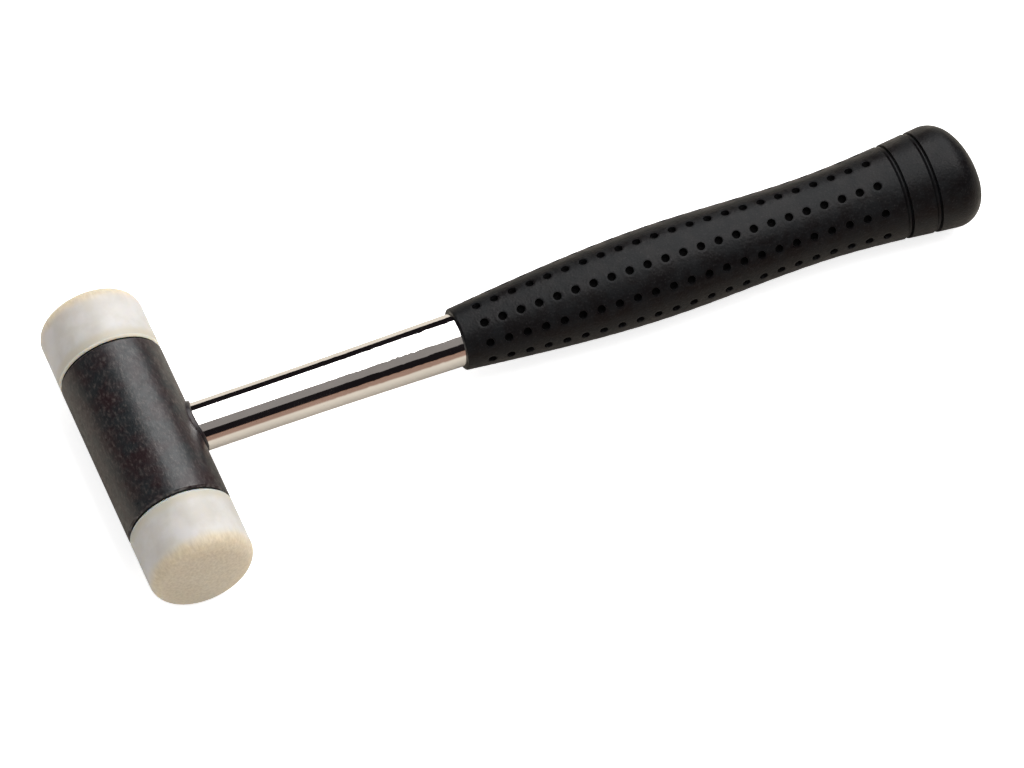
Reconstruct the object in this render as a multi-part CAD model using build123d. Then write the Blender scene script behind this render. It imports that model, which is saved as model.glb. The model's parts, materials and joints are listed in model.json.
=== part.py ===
"""Dead blow mallet: shot-filled steel head, two screw-in nylon faces, chromed tube handle and moulded grip.

Millimetres. +X runs along the handle towards the butt, the head lies along Y, and +Z is up. The mallet lies on
its side on the plane Z = 0, and the origin is the middle of its outline on that plane, seen from above.
Every piece is modelled about the point where the head's axis meets the handle's, and moved there at the end.
"""
from build123d import *
import math
import os

# Head housing: a thick-walled tube along Y
HEAD_DIAMETER = 35.0
HOUSING_LENGTH = 61.0
HOUSING_WALL = 3.5
HOUSING_EDGE_CHAMFER = 0.6

# Nylon faces, which screw into the ends of the head, and the washers under them
FACE_HEIGHT = 24.0
FACE_CROWN_RADIUS = 60.0
FACE_EDGE_ROUNDING = 5.5
FACE_SEAT_CHAMFER = 0.8
SPIGOT_DEPTH = 5.0
SPIGOT_CLEARANCE = 0.3
SPIGOT_CHAMFER = 0.8
WASHER_THICKNESS = 0.5
WASHER_INSET = 0.5

# Hexagon-headed studs, moulded into the faces
STUD_DIAMETER = 12.0
STUD_TIP_CHAMFER = 1.2
HEX_WIDTH = 19.0
HEX_HEIGHT = 7.0
HEX_ABOVE_SEAT = 3.0

# Bulkheads, which close the shot chamber and hold the studs in blind tapped holes
THREAD_DEPTH = 9.0
THREAD_CLEARANCE = 0.05
THREAD_END_GAP = 0.5
THREAD_MOUTH_CHAMFER = 0.8
BULKHEAD_FLOOR = 2.0
BULKHEAD_CHAMFER = 0.5

# Shot: short cut-wire pellets, lying in the lower part of the chamber
PELLET_DIAMETER = 6.0
PELLET_LENGTH = 5.5
PELLET_GAP = 0.2
SHOT_WALL_GAP = 0.3
SHOT_TRAVEL = 5.0
SHOT_DEPTH = 18.0

# Handle tube, which widens a little on its way to the grip
TUBE_DIAMETER = 16.4
TUBE_WALL = 1.5
TUBE_WIDENING = 0.9
STRAIGHT_TUBE_LENGTH = 22.5
WIDENING_LENGTH = 100.0
BARE_TUBE_LENGTH = 90.0
TUBE_START_INSET = 1.0
TUBE_HOLE_CLEARANCE = 0.1
WELD_LEG = 1.0
WELD_ROUNDING = 0.7

# Plugs in the two ends of the tube
HEAD_PLUG_LENGTH = 5.0
HEAD_PLUG_INSET = 0.5
END_PLUG_LENGTH = 12.0
END_PLUG_FLANGE = 2.0
PLUG_CHAMFER = 0.6

# Grip, with its thicknesses measured over the tube that it is moulded on
GRIP_LENGTH = 182.5
LIP_THICKNESS = 1.5
LIP_ROUNDING = 0.5
MOUTH_ANGLE = 5.8
BULGE_THICKNESS = 6.25
BULGE_FROM_MOUTH = 74.0
WAIST_THICKNESS = 5.2
WAIST_FROM_BUTT = 54.0
BUTT_THICKNESS = 9.95
BUTT_FLARE_ANGLE = 5.8
BUTT_CROWN_RADIUS = 31.0
BUTT_CROWN_OFFSET = 4.0
BUTT_ROUNDING = 8.0
BUTT_WALL = 8.0
GROOVE_WIDTH = 2.0
GROOVE_DEPTH = 0.9
GROOVES_FROM_BUTT = (18.0, 28.0)

# Places that follow from the sizes above
head_radius = HEAD_DIAMETER / 2
bore_radius = head_radius - HOUSING_WALL
housing_end = HOUSING_LENGTH / 2
face_seat = housing_end + WASHER_THICKNESS
face_tip = face_seat + FACE_HEIGHT
spigot_radius = bore_radius - SPIGOT_CLEARANCE
spigot_end = housing_end - SPIGOT_DEPTH
bulkhead_outer = spigot_end - SPIGOT_CLEARANCE
bulkhead_inner = bulkhead_outer - THREAD_DEPTH - BULKHEAD_FLOOR
stud_radius = STUD_DIAMETER / 2
stud_tip = bulkhead_outer - THREAD_DEPTH + THREAD_END_GAP
hex_start = face_seat + HEX_ABOVE_SEAT
tube_radius = TUBE_DIAMETER / 2
grip_tube_radius = tube_radius + TUBE_WIDENING
tube_start = bore_radius - TUBE_START_INSET
widening_start = head_radius + STRAIGHT_TUBE_LENGTH
widening_end = widening_start + WIDENING_LENGTH
grip_mouth = head_radius + BARE_TUBE_LENGTH
grip_end = grip_mouth + GRIP_LENGTH
plug_end = grip_end - BUTT_WALL
tube_end = plug_end - END_PLUG_FLANGE


def turned(profile, axis):
    """A solid turned about an axis from a closed profile on the XY plane."""
    return revolve(make_face(profile), axis)


def across_head(radius, start, end):
    """A cylinder on the head's axis, from start to end along Y."""
    return Pos(0, (start + end) / 2, 0) * Rot(90, 0, 0) * Cylinder(radius, end - start)


def along_handle(radius, start, end):
    """A cylinder on the handle's axis, from start to end along X."""
    return Pos((start + end) / 2, 0, 0) * Rot(0, 90, 0) * Cylinder(radius, end - start)


def rims(solid, axis, index):
    """The edges of a solid's first (0) or last (-1) face along an axis."""
    return solid.faces().sort_by(axis)[index].edges()


def make_housing():
    shell = across_head(head_radius, -housing_end, housing_end)
    shell -= across_head(bore_radius, -housing_end, housing_end)
    shell = chamfer(shell.edges().filter_by(GeomType.CIRCLE), HOUSING_EDGE_CHAMFER)
    return shell - along_handle(tube_radius + TUBE_HOLE_CLEARANCE, 0, HEAD_DIAMETER)


def make_stud():
    """Stud of the +Y face: a hexagon head inside the nylon and a shank that reaches into the bulkhead."""
    hexagon = Plane.XZ.offset(-hex_start) * RegularPolygon(HEX_WIDTH / 2, 6, major_radius=False)
    shank = across_head(stud_radius, stud_tip, hex_start)
    shank = chamfer(rims(shank, Axis.Y, 0), STUD_TIP_CHAMFER)
    return extrude(hexagon, -HEX_HEIGHT) + shank


def make_nylon_face(stud):
    """Nylon face on the +Y side, crowned and rounded, moulded round its stud."""
    crown_drop = FACE_CROWN_RADIUS - math.sqrt(FACE_CROWN_RADIUS**2 - head_radius**2)
    profile = Polyline(
        (0, face_tip),
        (0, spigot_end),
        (spigot_radius - SPIGOT_CHAMFER, spigot_end),
        (spigot_radius, spigot_end + SPIGOT_CHAMFER),
        (spigot_radius, face_seat),
        (head_radius - FACE_SEAT_CHAMFER, face_seat),
        (head_radius, face_seat + FACE_SEAT_CHAMFER),
        (head_radius, face_tip - crown_drop),
    )
    crown = RadiusArc((head_radius, face_tip - crown_drop), (0, face_tip), -FACE_CROWN_RADIUS)
    outline = make_face(profile + crown)
    rounded = fillet(outline.vertices().sort_by(Axis.X).sort_by(Axis.Y)[-2], FACE_EDGE_ROUNDING)
    return revolve(rounded, Axis.Y) - stud


def make_washer():
    """Washer under the +Y face, set in from the head's surface and clear of the spigot."""
    ring = across_head(head_radius - WASHER_INSET, housing_end, face_seat)
    return ring - across_head(bore_radius, housing_end, face_seat)


def make_bulkhead():
    """Disc pressed into the +Y end of the housing, with a blind tapped hole."""
    disc = across_head(bore_radius, bulkhead_inner, bulkhead_outer)
    disc = chamfer(disc.edges().filter_by(GeomType.CIRCLE), BULKHEAD_CHAMFER)
    disc -= across_head(stud_radius + THREAD_CLEARANCE, bulkhead_outer - THREAD_DEPTH, bulkhead_outer)
    mouth = rims(disc, Axis.Y, -1).sort_by(SortBy.RADIUS)[0]
    return chamfer(mouth, THREAD_MOUTH_CHAMFER)


def make_shot():
    """Pellets in staggered layers that follow the round chamber, in rows along the head's axis."""
    pitch = PELLET_DIAMETER + PELLET_GAP
    row_pitch = PELLET_LENGTH + PELLET_GAP
    reach = bore_radius - SHOT_WALL_GAP - PELLET_DIAMETER / 2
    plug_side = tube_start - PELLET_GAP - PELLET_DIAMETER / 2
    rows = int((2 * bulkhead_inner - SHOT_TRAVEL + PELLET_GAP) / row_pitch)
    lowest = -math.sqrt(reach**2 - (pitch / 2) ** 2)
    layers = 1 + int((SHOT_DEPTH - PELLET_DIAMETER) / (pitch * math.sqrt(3) / 2))
    columns = math.ceil(bore_radius / pitch)
    pellets = []
    for layer in range(layers):
        z = lowest + layer * pitch * math.sqrt(3) / 2
        shift = 0 if layer % 2 else pitch / 2
        for column in range(-columns, columns + 1):
            x = shift + column * pitch
            if math.hypot(x, z) > reach + 1e-6 or x > plug_side:
                continue
            for row in range(rows):
                start = (row - rows / 2) * row_pitch + PELLET_GAP / 2
                pellets.append(Pos(x, 0, z) * across_head(PELLET_DIAMETER / 2, start, start + PELLET_LENGTH))
    return Compound(children=pellets)


def tube_widening(inset):
    """Side of the tube's widening stretch, or of its bore where inset is the wall."""
    start = (widening_start, tube_radius - inset)
    end = (widening_end, grip_tube_radius - inset)
    return Spline(start, end, tangents=((1, 0), (1, 0)))


def tube_form(inset, end):
    """The handle tube's outer form, or its bore where inset is the wall, as a solid up to end."""
    narrow, wide = tube_radius - inset, grip_tube_radius - inset
    rest = Polyline(
        (widening_end, wide), (end, wide), (end, 0), (tube_start, 0), (tube_start, narrow), (widening_start, narrow)
    )
    return turned(tube_widening(inset) + rest, Axis.X)


def make_weld():
    """Bead round the tube, seated on the round head: its section follows the saddle between the two."""
    top = head_radius + WELD_LEG
    collar = along_handle(tube_radius + WELD_LEG, 0, HEAD_DIAMETER)
    collar &= across_head(top, -HEAD_DIAMETER, HEAD_DIAMETER)
    outer_edge = collar.edges().filter_by(GeomType.LINE, reverse=True).sort_by(Axis.X)[-1]
    collar = fillet(outer_edge, WELD_ROUNDING)
    collar -= across_head(head_radius, -HEAD_DIAMETER, HEAD_DIAMETER)
    return collar - along_handle(tube_radius, 0, HEAD_DIAMETER)


def make_head_plug():
    plug_start = tube_start + HEAD_PLUG_INSET
    plug = along_handle(tube_radius - TUBE_WALL, plug_start, plug_start + HEAD_PLUG_LENGTH)
    return chamfer(plug.edges().filter_by(GeomType.CIRCLE), PLUG_CHAMFER)


def make_end_plug():
    """Plug in the tube's butt end, with a flange over the tube's rim."""
    body = along_handle(grip_tube_radius - TUBE_WALL, tube_end - END_PLUG_LENGTH, tube_end)
    body = chamfer(rims(body, Axis.X, 0), PLUG_CHAMFER)
    flange = along_handle(grip_tube_radius, tube_end, plug_end)
    return body + chamfer(rims(flange, Axis.X, -1), PLUG_CHAMFER)


def height_at(curve, x):
    """Distance from the handle's axis of a curve that runs steadily along X."""
    low, high = 0.0, 1.0
    for _ in range(40):
        middle = (low + high) / 2
        low, high = (middle, high) if (curve @ middle).X < x else (low, middle)
    return (curve @ low).Y


def make_grip(filling):
    """Moulded grip over the tube and its end plug, with two grooves near the butt.

    The butt flares to its end, which is crowned a little off the handle's axis and rounded all round.
    """
    flare = math.radians(BUTT_FLARE_ANGLE)
    mouth_angle = math.radians(MOUTH_ANGLE)
    mouth = Vector(grip_mouth, height_at(tube_widening(0), grip_mouth) + LIP_THICKNESS)
    side = Spline(
        mouth,
        (grip_mouth + BULGE_FROM_MOUTH, grip_tube_radius + BULGE_THICKNESS),
        (grip_end - WAIST_FROM_BUTT, grip_tube_radius + WAIST_THICKNESS),
        (grip_end, grip_tube_radius + BUTT_THICKNESS),
        tangents=((math.cos(mouth_angle), math.sin(mouth_angle)), (math.cos(flare), math.sin(flare))),
    )
    rest = Polyline(side @ 1, (grip_end, 0), (grip_mouth, 0), mouth)
    grip = fillet(rims(turned(side + rest, Axis.X), Axis.X, 0), LIP_ROUNDING)
    crown_start = grip_end - BUTT_CROWN_RADIUS
    crown = Pos(crown_start, -BUTT_CROWN_OFFSET, 0) * Sphere(BUTT_CROWN_RADIUS)
    grip -= along_handle(BUTT_CROWN_RADIUS - BUTT_CROWN_OFFSET, crown_start, 2 * grip_end) - crown
    butt_rim = grip.faces().sort_by(Axis.X)[-1].edges()
    grip = fillet(butt_rim, BUTT_ROUNDING)
    for distance in GROOVES_FROM_BUTT:
        x = grip_end - distance
        outside = height_at(side, x)
        cutter = along_handle(BUTT_CROWN_RADIUS, x - GROOVE_WIDTH / 2, x + GROOVE_WIDTH / 2)
        grip -= cutter - along_handle(outside - GROOVE_DEPTH, x - GROOVE_WIDTH, x + GROOVE_WIDTH)
    return grip - filling


def make_nodes():
    """Every piece by name; left is the -Y end of the head and right the +Y end, seen from the butt."""
    stud = make_stud()
    right = {
        "face": make_nylon_face(stud),
        "face_stud": stud,
        "washer": make_washer(),
        "bulkhead": make_bulkhead(),
    }
    nodes = {f"right_{name}": piece for name, piece in right.items()}
    nodes |= {f"left_{name}": Rot(0, 0, 180) * piece for name, piece in right.items()}
    end_plug = make_end_plug()
    tube = tube_form(0, tube_end)
    return nodes | {
        "head_housing": make_housing(),
        "shot_charge": make_shot(),
        "handle_tube": tube - tube_form(TUBE_WALL, tube_end),
        "weld_bead": make_weld(),
        "tube_head_plug": make_head_plug(),
        "tube_end_plug": end_plug,
        "grip": make_grip(tube + end_plug),
    }


nodes = make_nodes()
lowest = min(piece.bounding_box().min.Z for piece in nodes.values())
to_resting_place = Pos((head_radius - grip_end) / 2, 0, -lowest)
os.makedirs("parts", exist_ok=True)
for name, piece in nodes.items():
    export_step(to_resting_place * piece, f"parts/{name}.step")
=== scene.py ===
"""Looks of the dead blow mallet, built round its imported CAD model. Metres, in the CAD model's frame."""

import json
import math

import bmesh
import bpy
import numpy as np
from mathutils import Matrix, Vector


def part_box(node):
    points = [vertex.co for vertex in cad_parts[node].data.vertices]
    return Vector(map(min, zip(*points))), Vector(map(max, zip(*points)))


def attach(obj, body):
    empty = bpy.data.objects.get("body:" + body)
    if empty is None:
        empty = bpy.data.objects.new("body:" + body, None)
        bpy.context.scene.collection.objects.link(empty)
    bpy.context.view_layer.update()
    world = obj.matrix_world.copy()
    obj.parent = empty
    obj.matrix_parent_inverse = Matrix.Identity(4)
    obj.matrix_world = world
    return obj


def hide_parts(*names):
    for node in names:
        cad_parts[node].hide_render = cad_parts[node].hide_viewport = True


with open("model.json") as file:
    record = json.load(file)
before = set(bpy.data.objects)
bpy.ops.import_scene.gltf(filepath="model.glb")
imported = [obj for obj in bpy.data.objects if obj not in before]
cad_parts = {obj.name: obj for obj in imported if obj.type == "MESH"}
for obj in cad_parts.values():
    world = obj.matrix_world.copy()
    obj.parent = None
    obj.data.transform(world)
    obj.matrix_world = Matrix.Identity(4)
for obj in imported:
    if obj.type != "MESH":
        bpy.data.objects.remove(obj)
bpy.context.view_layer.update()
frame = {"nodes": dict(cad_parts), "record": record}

MM = 0.001

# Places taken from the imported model
housing_low, housing_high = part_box("head_housing")
head_centre = (housing_low + housing_high) / 2
housing_end = housing_high.y
grip_low, grip_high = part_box("grip")
tube_low, tube_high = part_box("handle_tube")
plug_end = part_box("tube_end_plug")[1].x
face_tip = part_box("right_face")[1].y
face_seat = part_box("right_washer")[1].y

# Camera: where it looks on the plane of the head's and handle's axes, from which side, and how far off
LOOK_AT = Vector((-0.01885, -0.0226, 0.018))
AZIMUTH = -24.2
ELEVATION = 56.65
ROLL = 1.73
DISTANCE = 2.091
LENS = 228.5

# Lights: a turn is across the handle from straight up, positive towards the camera's side; a lean is along it.
# They face a point of the handle, a little way from the head, and the horizon's light lies further along
LIT_POINT_FROM_HEAD = 0.06
SOFTBOX_DISTANCE = 1.3
SOFTBOX_TURN = -16.5
SOFTBOX_LEAN = 26
SOFTBOX_SIZE = (1.2, 2.05)
SOFTBOX_RADIANCE = 3.5
FILL_DISTANCE = 3.2
FILL_TURN = 38
FILL_LEAN = 12
FILL_SIZE = (3.0, 2.1)
FILL_RADIANCE = 0.26
HORIZON_DISTANCE = 1.2
HORIZON_FROM_LIT_POINT = 0.25
HORIZON_SIZE = (4.0, 0.1)
HORIZON_RADIANCE = 0.3

# Floor, and the surroundings as the camera, diffuse rays and reflections meet them. The walls are grey up to a
# share of +X and of +Y in the direction looked in, and dark beyond, and they darken upwards by the share of +Z
FLOOR_SIZE = 6
FLOOR_IN_REFLECTIONS = (0.56, 0.51, 0.44)
FAR_FLOOR_IN_REFLECTIONS = (0.26, 0.16, 0.12)
FLOOR_TURNS_CREAM = (-0.075, -0.045)
FLOOR_GLOW = 0.7
BACKDROP = (0.95, 0.95, 0.95)
AMBIENT = (0.5, 0.5, 0.5)
DARK_SIDE = (0.009, 0.007, 0.008)
WALLS_LOW = (0.55, 0.54, 0.53)
WALLS_HIGH = (0.1, 0.1, 0.105)
WALLS_END_X = (0.12, 0.02)
WALLS_END_Y = (0.42, 0.3)
WALLS_DARKEN_Z = (0.1, 0.9)

# Dimples of the grip, in rows round it. DIMPLE_RINGS has a radius and a height in millimetres for each ring of
# points, from a dimple's middle outwards
DIMPLE_ROWS = 10
DIMPLES_IN_ROW = 23
DIMPLE_PITCH = 6.285 * MM
FIRST_DIMPLE = 8.0 * MM
ROWS_TURN = math.radians(1.0)
DIMPLE_CELL_WIDTH = math.radians(28)
DIMPLE_RINGS = ((0, -1.6), (0.7, -1.6), (1.15, -1.5), (1.36, -1.2), (1.44, -0.05), (1.9, 0.04), (2.4, 0))
CELL_STEPS = len(DIMPLE_RINGS)
# Points deeper than this in a dimple are painted in shade
DEEP = -1.0 * MM

# Grip: its crowned butt, its two grooves with the bead in each, its lip and its bore. The steps across a groove
# (along and height) and over the mouth's lip (along) are in millimetres. The grip's side is read from the CAD
# as far as SIDE_ENDS_FROM_BUTT, and a span is the length over which its slope is taken
CROWN_RADIUS = 31.0 * MM
CROWN_OFFSET = 4.0 * MM
BUTT_ROUNDING = 8.0 * MM
BUTT_LENGTH = 15.5 * MM
RIM_STEPS = 14
CROWN_STEPS = 12
HALVINGS = 40
GROOVES_FROM_BUTT = (28.0 * MM, 18.0 * MM)
GROOVE_STEPS = ((-1.02, 0), (-1.0, -0.9), (-0.62, -0.85), (-0.3, -0.45), (0, -0.35),
                (0.3, -0.45), (0.62, -0.85), (1.0, -0.9), (1.02, 0))
GROOVE_HALF_WIDTH = GROOVE_STEPS[-1][0] * MM
GROOVE_GAP = 1.1 * MM
MOUTH_STEPS = (0, 0.02, 0.06, 0.13, 0.25, 0.4, 0.6, 1, 1.6, 2.2, 2.9, 3.6, 4.3)
BORE_CLEARANCE = 0.02 * MM
BORE_EVEN_FROM_MOUTH = 33.0 * MM
SIDE_ENDS_FROM_BUTT = 11.6 * MM
SLOPE_SPAN = 4.0 * MM
FLARE_SPAN = 2.0 * MM
PLAIN_STEP = 1.2 * MM

# Stud threads, M12, and the hexagon moulded into the nylon
THREAD_PITCH = 1.75 * MM
THREAD_DEPTH = 1.07 * MM
THREAD_LENGTH = 10.5 * MM
SHANK_RADIUS = 6.0 * MM
STUD_TIP_RADIUS = 4.8 * MM
HEX_WIDTH = 19.0 * MM
HEX_HEIGHT = 7.0 * MM
STUD_POINTS = 48
RINGS_PER_TURN = 10
FLANK_STEEPNESS = 2.5
CREST_SHARE = 0.06


# ---------------------------------------------------------------- camera, floor and lights

def direction(turn, lean):
    """Unit direction at an angle across the handle (turn) and along it (lean), in degrees from straight up."""
    turn, lean = math.radians(turn), math.radians(lean)
    return Vector((math.sin(lean), -math.cos(lean) * math.sin(turn), math.cos(lean) * math.cos(turn)))


def link(data, name):
    made = bpy.data.objects.new(name, data)
    bpy.context.scene.collection.objects.link(made)
    return made


def make_camera():
    camera = link(bpy.data.cameras.new("camera"), "camera")
    azimuth, elevation = math.radians(AZIMUTH), math.radians(ELEVATION)
    away = Vector((math.sin(azimuth) * math.cos(elevation), -math.cos(azimuth) * math.cos(elevation),
                   math.sin(elevation)))
    turn = (-away).to_track_quat("-Z", "Y").to_matrix() @ Matrix.Rotation(math.radians(ROLL), 3, "Z")
    camera.matrix_world = Matrix.Translation(LOOK_AT + away * DISTANCE) @ turn.to_4x4()
    camera.data.lens = LENS
    camera.data.sensor_width = 36
    camera.data.clip_end = 20
    bpy.context.scene.camera = camera


def make_light(name, place, target, size, radiance, colour):
    """A rectangular soft light at place, facing target, of a given radiance."""
    data = bpy.data.lights.new(name, "AREA")
    data.shape = "RECTANGLE"
    data.size, data.size_y = size
    data.energy = radiance * math.pi * size[0] * size[1]
    data.color = colour
    light = link(data, name)
    light.visible_camera = False
    back = (place - target).normalized()
    across = (Vector((1, 0, 0)) - back * back.x).normalized()
    turn = Matrix((across, back.cross(across), back)).transposed()
    light.matrix_world = Matrix.Translation(place) @ turn.to_4x4()


def make_lights():
    centre = Vector((head_centre.x + LIT_POINT_FROM_HEAD, 0, head_centre.z))
    make_light("softbox", centre + direction(SOFTBOX_TURN, SOFTBOX_LEAN) * SOFTBOX_DISTANCE, centre,
               SOFTBOX_SIZE, SOFTBOX_RADIANCE, (1, 1, 1))
    make_light("fill", centre + direction(FILL_TURN, FILL_LEAN) * FILL_DISTANCE, centre,
               FILL_SIZE, FILL_RADIANCE, (1, 0.93, 0.88))
    low = Vector((centre.x + HORIZON_FROM_LIT_POINT, -HORIZON_DISTANCE, HORIZON_SIZE[1] / 2))
    make_light("horizon", low, low + Vector((0, 1, 0)), HORIZON_SIZE, HORIZON_RADIANCE, (1, 0.6, 0.42))


def make_floor():
    mesh = bpy.data.meshes.new("floor")
    bm = bmesh.new()
    bmesh.ops.create_grid(bm, x_segments=1, y_segments=1, size=FLOOR_SIZE)
    bm.to_mesh(mesh)
    bm.free()
    mesh.materials.append(floor_paper())
    link(mesh, "floor")


def make_world():
    """Surroundings: a pale backdrop, an even light, and in reflections grey walls with a dark side."""
    world = bpy.data.worlds.new("world")
    bpy.context.scene.world = world
    world.use_nodes = True
    tree = world.node_tree
    ray = add(tree, "ShaderNodeLightPath", {})
    way = add(tree, "ShaderNodeTexCoord", {}).outputs["Generated"]
    way = add(tree, "ShaderNodeSeparateXYZ", {"Vector": way}).outputs
    walls = blend(tree, levels(tree, way["Z"], *WALLS_DARKEN_Z, smooth=True), WALLS_LOW, WALLS_HIGH)
    grey = maths(tree, "MULTIPLY", levels(tree, way["X"], *WALLS_END_X), levels(tree, way["Y"], *WALLS_END_Y))
    mirrored = blend(tree, grey, DARK_SIDE, walls)
    lit = blend(tree, ray.outputs["Is Diffuse Ray"], mirrored, AMBIENT)
    seen = blend(tree, ray.outputs["Is Camera Ray"], lit, BACKDROP)
    tree.links.new(seen, tree.nodes["Background"].inputs["Color"])


# ---------------------------------------------------------------- materials

def add(tree, kind, inputs, **settings):
    """A new node with its settings, and with each input set to a value or linked to a socket."""
    made = tree.nodes.new(kind)
    for key, value in settings.items():
        setattr(made, key, value)
    for key, value in inputs.items():
        if isinstance(value, bpy.types.NodeSocket):
            tree.links.new(value, made.inputs[key])
        else:
            made.inputs[key].default_value = value
    return made


def new_material(name, inputs):
    """A material with its shader's plain inputs set, as the material, its tree, its shader and its place."""
    material = bpy.data.materials.new(name)
    material.use_nodes = True
    tree = material.node_tree
    shader = tree.nodes["Principled BSDF"]
    for key, value in inputs.items():
        shader.inputs[key].default_value = value
    place = add(tree, "ShaderNodeTexCoord", {}).outputs["Object"]
    return material, tree, shader, place


def stretched(tree, place, scale):
    """The place scaled differently along each axis, for grain with a direction."""
    return add(tree, "ShaderNodeMapping", {"Vector": place, "Scale": scale}).outputs["Vector"]


def noise(tree, place, scale, detail=3.0, roughness=0.5):
    inputs = {"Vector": place, "Scale": scale, "Detail": detail, "Roughness": roughness}
    return add(tree, "ShaderNodeTexNoise", inputs).outputs["Fac"]


def levels(tree, value, low, high, to_low=0.0, to_high=1.0, smooth=False):
    """A value's stretch from low to high, carried to another stretch."""
    made = add(tree, "ShaderNodeMapRange", {"Value": value, "From Min": low, "From Max": high,
                                            "To Min": to_low, "To Max": to_high})
    made.interpolation_type = "SMOOTHSTEP" if smooth else "LINEAR"
    return made.outputs["Result"]


def blend(tree, share, first, second):
    """A colour between two others, each a colour or a socket."""
    made = add(tree, "ShaderNodeMix", {"Factor": share}, data_type="RGBA")
    for index, colour in ((6, first), (7, second)):
        if isinstance(colour, bpy.types.NodeSocket):
            tree.links.new(colour, made.inputs[index])
        else:
            made.inputs[index].default_value = (*colour, 1)
    return made.outputs[2]


def maths(tree, operation, first, second=0.0):
    return add(tree, "ShaderNodeMath", {0: first, 1: second}, operation=operation).outputs[0]


def bump(tree, height, distance, under=None):
    """Bumps of a height map, over the normal of another bump where one is given."""
    inputs = {"Height": height, "Distance": distance, "Strength": 1.0}
    if under is not None:
        inputs["Normal"] = under
    return add(tree, "ShaderNodeBump", inputs).outputs["Normal"]


def along_head(tree, place):
    """Distance from the head's middle, along its axis."""
    split = add(tree, "ShaderNodeSeparateXYZ", {"Vector": place})
    return maths(tree, "ABSOLUTE", split.outputs["Y"])


def floor_paper():
    """White paper, almost shadowless to the eye, which reflections show as cream, and as brown further off."""
    material, tree, shader, place = new_material("floor_paper", {"Roughness": 0.9, "Specular IOR Level": 0.2})
    tone = levels(tree, noise(tree, place, 3.0), 0.3, 0.7)
    paper = blend(tree, tone, (0.88, 0.88, 0.88), (0.9, 0.9, 0.9))
    ray = add(tree, "ShaderNodeLightPath", {})
    across = add(tree, "ShaderNodeSeparateXYZ", {"Vector": place}).outputs["Y"]
    near = levels(tree, across, *FLOOR_TURNS_CREAM, smooth=True)
    mirrored = blend(tree, near, FAR_FLOOR_IN_REFLECTIONS, FLOOR_IN_REFLECTIONS)
    tree.links.new(blend(tree, ray.outputs["Is Glossy Ray"], paper, mirrored), shader.inputs["Base Color"])
    shader.inputs["Emission Color"].default_value = (1, 1, 1, 1)
    glow = maths(tree, "MULTIPLY", ray.outputs["Is Camera Ray"], FLOOR_GLOW)
    tree.links.new(glow, shader.inputs["Emission Strength"])
    return material


def blackened_steel():
    """Satin black head: red-brown and blue-grey mottling, fine grain, and slight wear at its ends."""
    material, tree, shader, place = new_material("blackened_steel", {"Specular IOR Level": 0.54})
    cloud = levels(tree, noise(tree, place, 130.0, 5.0, 0.6), 0.36, 0.64, smooth=True)
    grain = noise(tree, stretched(tree, place, (1.0, 0.5, 1.0)), 1150.0, 4.0, 0.7)
    speck = levels(tree, grain, 0.5, 0.78)
    mottled = blend(tree, cloud, (0.015, 0.006, 0.0075), (0.009, 0.0115, 0.0135))
    grained = blend(tree, maths(tree, "MULTIPLY", speck, 0.8), mottled, (0.09, 0.077, 0.07))
    reach = levels(tree, along_head(tree, place), housing_end - 1.0 * MM, housing_end - 0.1 * MM)
    worn = maths(tree, "MULTIPLY", reach, levels(tree, noise(tree, place, 700.0, 3.0), 0.45, 0.7))
    tree.links.new(blend(tree, worn, grained, (0.13, 0.12, 0.115)), shader.inputs["Base Color"])
    rough = levels(tree, noise(tree, place, 420.0, 5.0, 0.65), 0.3, 0.7, 0.27, 0.47)
    tree.links.new(rough, shader.inputs["Roughness"])
    tree.links.new(bump(tree, grain, 0.05 * MM, bump(tree, noise(tree, place, 260.0, 3.0), 0.06 * MM)),
                   shader.inputs["Normal"])
    return material


def nylon():
    """Translucent off-white nylon: greyer on the barrel, browner towards the seat, with a painted highlight
    ring at the seat, painted tan shade on the tip and faint lines from moulding.
    """
    material, tree, shader, place = new_material("nylon", {"Subsurface Weight": 1.0, "Subsurface Scale": 0.012,
                                                           "Specular IOR Level": 0.45, "IOR": 1.53})
    shader.inputs["Subsurface Radius"].default_value = (1.0, 0.75, 0.5)
    away = along_head(tree, place)
    cloud = noise(tree, place, 90.0, 4.0, 0.6)
    lines = noise(tree, stretched(tree, place, (1.0, 0.12, 1.0)), 1100.0, 3.0, 0.6)
    wander = maths(tree, "MULTIPLY_ADD", noise(tree, place, 160.0, 2.0), 4.0 * MM)
    wander.node.inputs[2].default_value = -2.0 * MM
    # Mask of the tip, where each face is painted tan as shade, its border wandering with noise
    tip = levels(tree, maths(tree, "ADD", away, wander), face_tip - 8.5 * MM, face_tip - 4.0 * MM, smooth=True)
    barrel = blend(tree, levels(tree, cloud, 0.35, 0.65, smooth=True), (0.48, 0.46, 0.43), (0.55, 0.535, 0.52))
    # Darker and browner towards the seat
    root = levels(tree, away, face_seat + 5.0 * MM, face_seat + 2.0 * MM, smooth=True)
    browner_root = blend(tree, maths(tree, "MULTIPLY", root, 0.7), barrel, (0.47, 0.42, 0.33))
    # A pale cream ring next to the seat is a painted highlight
    rim = levels(tree, away, face_seat + 1.0 * MM, face_seat + 0.7 * MM)
    rim_highlighted = blend(tree, rim, browner_root, (0.72, 0.67, 0.56))
    # Painted shade of the tip, tan with faint moulding lines
    tan_shade = blend(tree, levels(tree, lines, 0.3, 0.7), (0.46, 0.39, 0.28), (0.62, 0.55, 0.42))
    tree.links.new(blend(tree, maths(tree, "MULTIPLY", tip, 0.85), rim_highlighted, tan_shade), shader.inputs["Base Color"])
    tree.links.new(levels(tree, cloud, 0.3, 0.7, 0.36, 0.5), shader.inputs["Roughness"])
    tree.links.new(bump(tree, lines, 0.02 * MM, bump(tree, noise(tree, place, 600.0, 3.0), 0.02 * MM)),
                   shader.inputs["Normal"])
    return material


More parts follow.
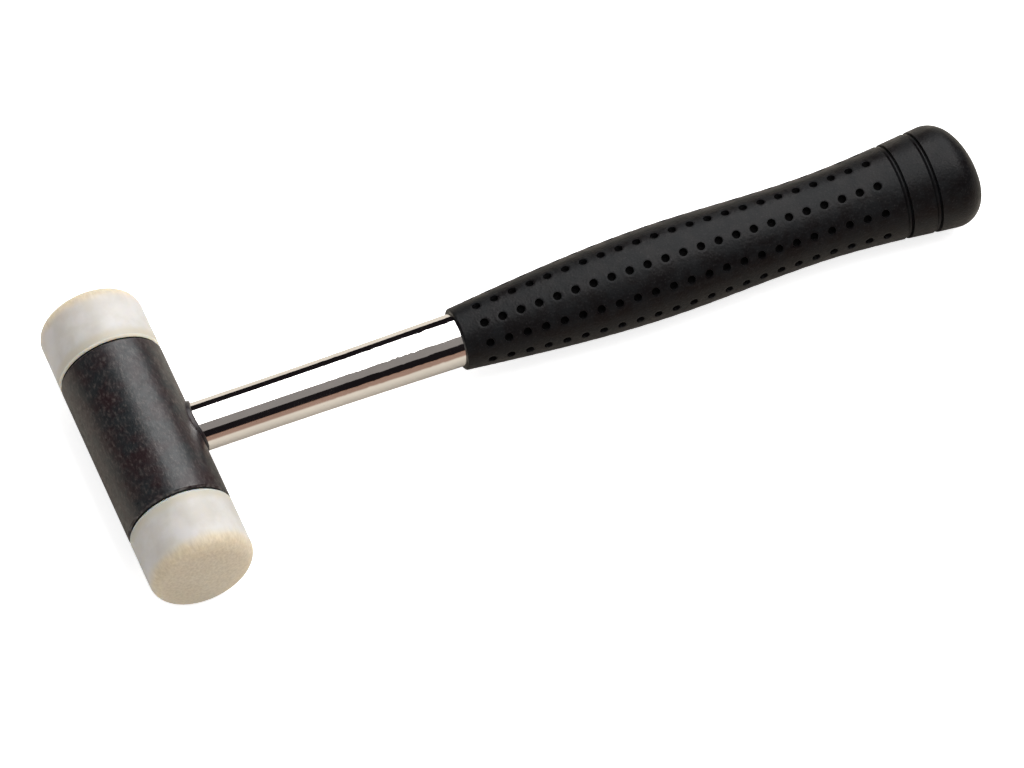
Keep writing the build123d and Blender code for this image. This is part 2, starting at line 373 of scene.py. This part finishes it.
def chrome():
    """Mirror-bright plating with the faint waviness, smears and pinholes of a polished tube."""
    material, tree, shader, place = new_material("chrome", {"Metallic": 1.0})
    smear = noise(tree, stretched(tree, place, (0.35, 1.0, 1.0)), 160.0, 4.0, 0.6)
    pit = levels(tree, noise(tree, place, 1300.0, 2.0), 0.74, 0.8)
    tone = blend(tree, levels(tree, smear, 0.35, 0.7), (0.85, 0.835, 0.815), (0.93, 0.91, 0.89))
    tree.links.new(blend(tree, maths(tree, "MULTIPLY", pit, 0.6), tone, (0.25, 0.22, 0.2)),
                   shader.inputs["Base Color"])
    tree.links.new(levels(tree, smear, 0.35, 0.75, 0.035, 0.11), shader.inputs["Roughness"])
    wave = noise(tree, stretched(tree, place, (0.3, 1.0, 1.0)), 90.0, 1.0)
    tree.links.new(bump(tree, wave, 0.03 * MM), shader.inputs["Normal"])
    return material


def grip_rubber():
    """Black moulded rubber, satin, with a fine pebbled grain, a faint bloom in patches, and near-black, matt
    painted shade deep in the dimples.
    """
    material, tree, shader, place = new_material("grip_rubber", {"Specular IOR Level": 0.17})
    hollow_shade = add(tree, "ShaderNodeAttribute", {}, attribute_name="hollow_shade").outputs["Fac"]
    grain = noise(tree, place, 1500.0, 4.0, 0.6)
    patch = levels(tree, noise(tree, place, 170.0, 4.0, 0.6), 0.38, 0.64, smooth=True)
    cool = blend(tree, patch, (0.003, 0.0022, 0.0026), (0.0042, 0.0047, 0.0056))
    grained = blend(tree, levels(tree, grain, 0.55, 0.8), cool, (0.02, 0.019, 0.0195))
    # Deep in the dimples the colour is near-black painted shade, and the roughness goes to full
    tree.links.new(blend(tree, hollow_shade, grained, (0.0004, 0.0003, 0.0004)), shader.inputs["Base Color"])
    rough = levels(tree, maths(tree, "ADD", patch, grain), 0.4, 1.4, 0.34, 0.46)
    tree.links.new(maths(tree, "MAXIMUM", rough, hollow_shade), shader.inputs["Roughness"])
    pebble = add(tree, "ShaderNodeTexVoronoi", {"Vector": place, "Scale": 1400.0}).outputs["Distance"]
    tree.links.new(bump(tree, pebble, 0.05 * MM, bump(tree, noise(tree, place, 330.0, 3.0), 0.05 * MM)),
                   shader.inputs["Normal"])
    return material


def black_fibre():
    material, tree, shader, place = new_material("black_fibre", {"Roughness": 0.8, "Specular IOR Level": 0.2})
    fibre = noise(tree, place, 1800.0, 4.0, 0.7)
    tone = blend(tree, fibre, (0.001, 0.001, 0.001), (0.008, 0.007, 0.006))
    tree.links.new(tone, shader.inputs["Base Color"])
    tree.links.new(bump(tree, fibre, 0.02 * MM), shader.inputs["Normal"])
    return material


def machined_steel(name, dull, bright, rough):
    """Turned or cut steel, with fine lines round it and slightly cloudy plating."""
    material, tree, shader, place = new_material(name, {"Metallic": 1.0})
    cloud = levels(tree, noise(tree, place, 300.0, 4.0, 0.6), 0.35, 0.65)
    lines = noise(tree, stretched(tree, place, (0.1, 1.0, 0.1)), 4000.0, 2.0)
    tree.links.new(blend(tree, cloud, dull, bright), shader.inputs["Base Color"])
    tree.links.new(levels(tree, cloud, 0.0, 1.0, rough, rough + 0.12), shader.inputs["Roughness"])
    tree.links.new(bump(tree, lines, 0.008 * MM), shader.inputs["Normal"])
    return material


def plug_plastic():
    material, tree, shader, place = new_material("plug_plastic", {"Roughness": 0.6})
    haze = noise(tree, place, 250.0, 4.0, 0.6)
    tree.links.new(blend(tree, haze, (0.03, 0.03, 0.032), (0.055, 0.055, 0.06)), shader.inputs["Base Color"])
    tree.links.new(bump(tree, noise(tree, place, 2500.0, 3.0), 0.01 * MM), shader.inputs["Normal"])
    return material


# ---------------------------------------------------------------- grip

def outer_side(node, inner_radius, low, high, gaps):
    """Radius about the handle's axis of a turned CAD node's outside, as a function of x. It is read from the
    node's own points outside the gaps, and past the last of them it goes on at the slope it has there."""
    points = np.array([vertex.co for vertex in frame["nodes"][node].data.vertices])
    x, radius = points[:, 0], np.hypot(points[:, 1], points[:, 2] - head_centre.z)
    kept = (radius > inner_radius) & (x >= low) & (x <= high)
    for start, end in gaps:
        kept &= (x < start) | (x > end)
    order = np.argsort(x[kept])
    x, radius = x[kept][order], radius[kept][order]
    slope = (radius[-1] - np.interp(x[-1] - SLOPE_SPAN, x, radius)) / SLOPE_SPAN

    def radius_at(at):
        return float(np.interp(at, x, radius)) + max(at - float(x[-1]), 0) * slope

    return radius_at


def dimple_cell():
    """Points of a square cell inside its border, by line along the grip and column round it. Each square ring
    of them is one circle of the dimple, and each point is how far it lies along, round and above the side."""
    cell = {}
    for line in range(-CELL_STEPS, CELL_STEPS + 1):
        for column in range(-CELL_STEPS, CELL_STEPS + 1):
            ring = max(abs(line), abs(column))
            if ring < CELL_STEPS:
                radius, height = DIMPLE_RINGS[ring]
                angle = math.atan2(column, line)
                cell[line, column] = (radius * MM * math.cos(angle), radius * MM * math.sin(angle), height * MM)
    return cell


def butt_profile(angle, radius_at):
    """Points at one angle round the butt, from its flared side over its rim and its crown to the axis."""
    outward = Vector((0, math.cos(angle), math.sin(angle)))
    crown_centre = Vector((grip_high.x - CROWN_RADIUS, -CROWN_OFFSET, head_centre.z))
    flare = math.atan((radius_at(grip_high.x) - radius_at(grip_high.x - FLARE_SPAN)) / FLARE_SPAN)

    def rim_centre(x):
        return Vector((x, 0, head_centre.z)) + outward * (radius_at(x) - BUTT_ROUNDING / math.cos(flare))

    near, far = grip_high.x - CROWN_RADIUS, grip_high.x
    for _ in range(HALVINGS):
        middle = (near + far) / 2
        inside = (rim_centre(middle) - crown_centre).length < CROWN_RADIUS - BUTT_ROUNDING
        near, far = (middle, far) if inside else (near, middle)
    rim = rim_centre(near)
    pole = Vector((crown_centre.x + math.sqrt(CROWN_RADIUS ** 2 - CROWN_OFFSET ** 2), 0, head_centre.z))
    side_normal = outward * math.cos(flare) - Vector((math.sin(flare), 0, 0))
    crown_normal = (rim - crown_centre).normalized()
    pole_normal = (pole - crown_centre).normalized()
    points = [rim + side_normal.slerp(crown_normal, step / RIM_STEPS) * BUTT_ROUNDING
              for step in range(RIM_STEPS)]
    points += [crown_centre + crown_normal.slerp(pole_normal, step / CROWN_STEPS) * CROWN_RADIUS
               for step in range(CROWN_STEPS)]
    return points, pole


def ring_angles():
    """Each point round the grip, as its row's middle angle, its column in the row's cell and its own angle: the
    cell in equal steps, then one point without a column before the next row."""
    spacing = 2 * math.pi / DIMPLE_ROWS
    angles = []
    for row in range(DIMPLE_ROWS):
        middle = row * spacing + ROWS_TURN
        angles += [(middle, column, middle + column / CELL_STEPS * DIMPLE_CELL_WIDTH / 2)
                   for column in range(-CELL_STEPS, CELL_STEPS + 1)]
        angles.append((middle, None, middle + spacing / 2))
    return angles


def round_point(x, radius, angle):
    """The point at an angle round the handle's axis."""
    return Vector((x, radius * math.cos(angle), head_centre.z + radius * math.sin(angle)))


def dimple_rings(first, radius_at, angles):
    """Rings through every dimple, and for each ring which of its points are deep in a dimple, where shade is
    painted.
    """
    cell = dimple_cell()
    rings, hollow_shades = [], []
    for number in range(DIMPLES_IN_ROW):
        middle = first + number * DIMPLE_PITCH
        for line in range(-CELL_STEPS + (number > 0), CELL_STEPS + 1):
            x = middle + line / CELL_STEPS * DIMPLE_PITCH / 2
            ring, hollow_shade = [], []
            for row_middle, column, angle in angles:
                height = 0.0
                if (line, column) in cell:
                    along, around, height = cell[line, column]
                    side = radius_at(middle + along)
                    ring.append(round_point(middle + along, side + height, row_middle + around / side))
                else:
                    ring.append(round_point(x, radius_at(x), angle))
                hollow_shade.append(float(height < DEEP))
            rings.append(ring)
            hollow_shades.append(hollow_shade)
    return rings, hollow_shades


def grip_rings():
    """Rings of the grip's points, from inside its bore, over the lip, along the outside and round the butt, the
    pole that closes them, and for each point 1 where it is deep in a dimple and painted in shade, and 0
    elsewhere."""
    mouth, end = grip_low.x, grip_high.x
    bore = (tube_high.z - tube_low.z) / 2 + BORE_CLEARANCE
    bore_at = outer_side("handle_tube", bore / 2, mouth - 5 * MM, end, ())
    grooves = [end - distance for distance in GROOVES_FROM_BUTT]
    gaps = [(groove - GROOVE_GAP, groove + GROOVE_GAP) for groove in grooves]
    radius_at = outer_side("grip", bore + 0.4 * MM, mouth, end - SIDE_ENDS_FROM_BUTT, gaps)
    angles = ring_angles()

    def plain(x, height=0.0):
        return [round_point(x, radius_at(x) + height, angle) for _, _, angle in angles]

    rings = [[round_point(x, radius, angle) for _, _, angle in angles] for x, radius in (
        (plug_end, bore * 0.3), (plug_end, bore), (mouth + BORE_EVEN_FROM_MOUTH, bore),
        (mouth, bore_at(mouth) + BORE_CLEARANCE))]
    rings += [plain(mouth + step * MM) for step in MOUTH_STEPS]
    hollow_shades = [[0.0] * len(ring) for ring in rings]
    dimpled, dimple_shades = dimple_rings(mouth + FIRST_DIMPLE, radius_at, angles)
    rings += dimpled
    hollow_shades += dimple_shades
    x = mouth + FIRST_DIMPLE + (DIMPLES_IN_ROW - 0.5) * DIMPLE_PITCH
    for groove in grooves:
        steps = max(int((groove - x) / PLAIN_STEP), 1)
        rings += [plain(x + (groove - GROOVE_HALF_WIDTH - x) * step / steps) for step in range(1, steps)]
        rings += [plain(groove + offset * MM, height * MM) for offset, height in GROOVE_STEPS]
        x = groove + GROOVE_HALF_WIDTH
    rings.append(plain(end - BUTT_LENGTH))
    profiles = [butt_profile(angle, radius_at) for _, _, angle in angles]
    rings += [[points[step] for points, _ in profiles] for step in range(RIM_STEPS + CROWN_STEPS)]
    hollow_shades += [[0.0] * len(ring) for ring in rings[len(hollow_shades):]]
    return rings, profiles[0][1], [value for ring in hollow_shades for value in ring]


def skin(name, rings, first_pole, last_pole):
    """A closed mesh over rings of points, drawn together to a pole at each end."""
    bm = bmesh.new()
    rows = [[bm.verts.new(point) for point in ring] for ring in rings]
    count = len(rings[0])
    for lower, upper in zip(rows, rows[1:]):
        for number in range(count):
            after = (number + 1) % count
            bm.faces.new((lower[number], lower[after], upper[after], upper[number]))
    for row, pole in ((rows[0], first_pole), (rows[-1], last_pole)):
        tip = bm.verts.new(pole)
        for number in range(count):
            bm.faces.new((row[number], row[(number + 1) % count], tip))
    bmesh.ops.recalc_face_normals(bm, faces=bm.faces)
    mesh = bpy.data.meshes.new(name)
    bm.to_mesh(mesh)
    bm.free()
    mesh.shade_smooth()
    mesh.set_sharp_from_angle(angle=math.radians(50))
    return link(mesh, name)


def make_grip():
    rings, tip, hollow_shade = grip_rings()
    grip = skin("dimpled_grip", rings, Vector((plug_end, 0, head_centre.z)), tip)
    # Per point, 1 where the grip is painted in shade deep in a dimple
    grip.data.attributes.new("hollow_shade", "FLOAT", "POINT").data.foreach_set("value", hollow_shade + [0.0, 0.0])
    grip.data.materials.append(grip_rubber())
    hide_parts("grip")
    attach(grip, "mallet")


# ---------------------------------------------------------------- studs

def make_stud(side, material):
    """Threaded stud of one nylon face: right-hand thread on the shank, hexagon inside the nylon."""
    node = f"{side}_face_stud"
    low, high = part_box(node)
    length = high.y - low.y
    hex_start = length - HEX_HEIGHT
    turn = Matrix.Rotation(0 if side == "right" else math.pi, 4, "Z")
    tip = low.y if side == "right" else -high.y

    def place(radius, along, angle):
        local = Vector((radius * math.sin(angle), tip + along, radius * math.cos(angle)))
        return Vector((head_centre.x, 0, head_centre.z)) + turn @ local

    def hex_radius(angle):
        return HEX_WIDTH / 2 / math.cos((angle + math.pi / 6) % (math.pi / 3) - math.pi / 6)

    def thread_radius(along, angle):
        phase = (along / THREAD_PITCH - angle / (2 * math.pi)) % 1
        flank = min(max(abs(phase - 0.5) * FLANK_STEEPNESS - CREST_SHARE, 0), 1)
        return min(SHANK_RADIUS - THREAD_DEPTH * (1 - flank), STUD_TIP_RADIUS + along)

    angles = [number / STUD_POINTS * 2 * math.pi for number in range(STUD_POINTS)]
    steps = int(THREAD_LENGTH / THREAD_PITCH * RINGS_PER_TURN)
    rings = [[place(thread_radius(THREAD_LENGTH * step / steps, angle), THREAD_LENGTH * step / steps, angle)
              for angle in angles] for step in range(steps + 1)]
    rings += [[place(SHANK_RADIUS, along, angle) for angle in angles]
              for along in (THREAD_LENGTH + 0.5 * MM, hex_start)]
    rings += [[place(hex_radius(angle), along, angle) for angle in angles] for along in (hex_start, length)]
    stud = skin(f"{side}_threaded_stud", rings, place(0, 0, 0), place(0, length, 0))
    stud.data.materials.append(material)
    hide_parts(node)
    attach(stud, f"{side}_face")


# ---------------------------------------------------------------- the whole mallet

bpy.context.scene.view_settings.view_transform = "Standard"
make_camera()
make_lights()
make_floor()
make_world()

zinc_steel = machined_steel("zinc_steel", (0.5, 0.49, 0.46), (0.66, 0.66, 0.65), 0.26)
shot_steel = machined_steel("shot_steel", (0.22, 0.21, 0.2), (0.36, 0.35, 0.34), 0.4)
finishes = {"blackened_steel": blackened_steel(), "nylon": nylon(), "chrome": chrome(),
            "black_fibre": black_fibre(), "zinc_steel": zinc_steel, "shot_steel": shot_steel,
            "plug_plastic": plug_plastic()}
for subpart in frame["record"]["subparts"]:
    node = frame["nodes"][subpart["node"]]
    if subpart["material_slot"] in finishes:
        for slot in node.material_slots:
            slot.material = finishes[subpart["material_slot"]]

make_grip()
make_stud("right", zinc_steel)
make_stud("left", zinc_steel)
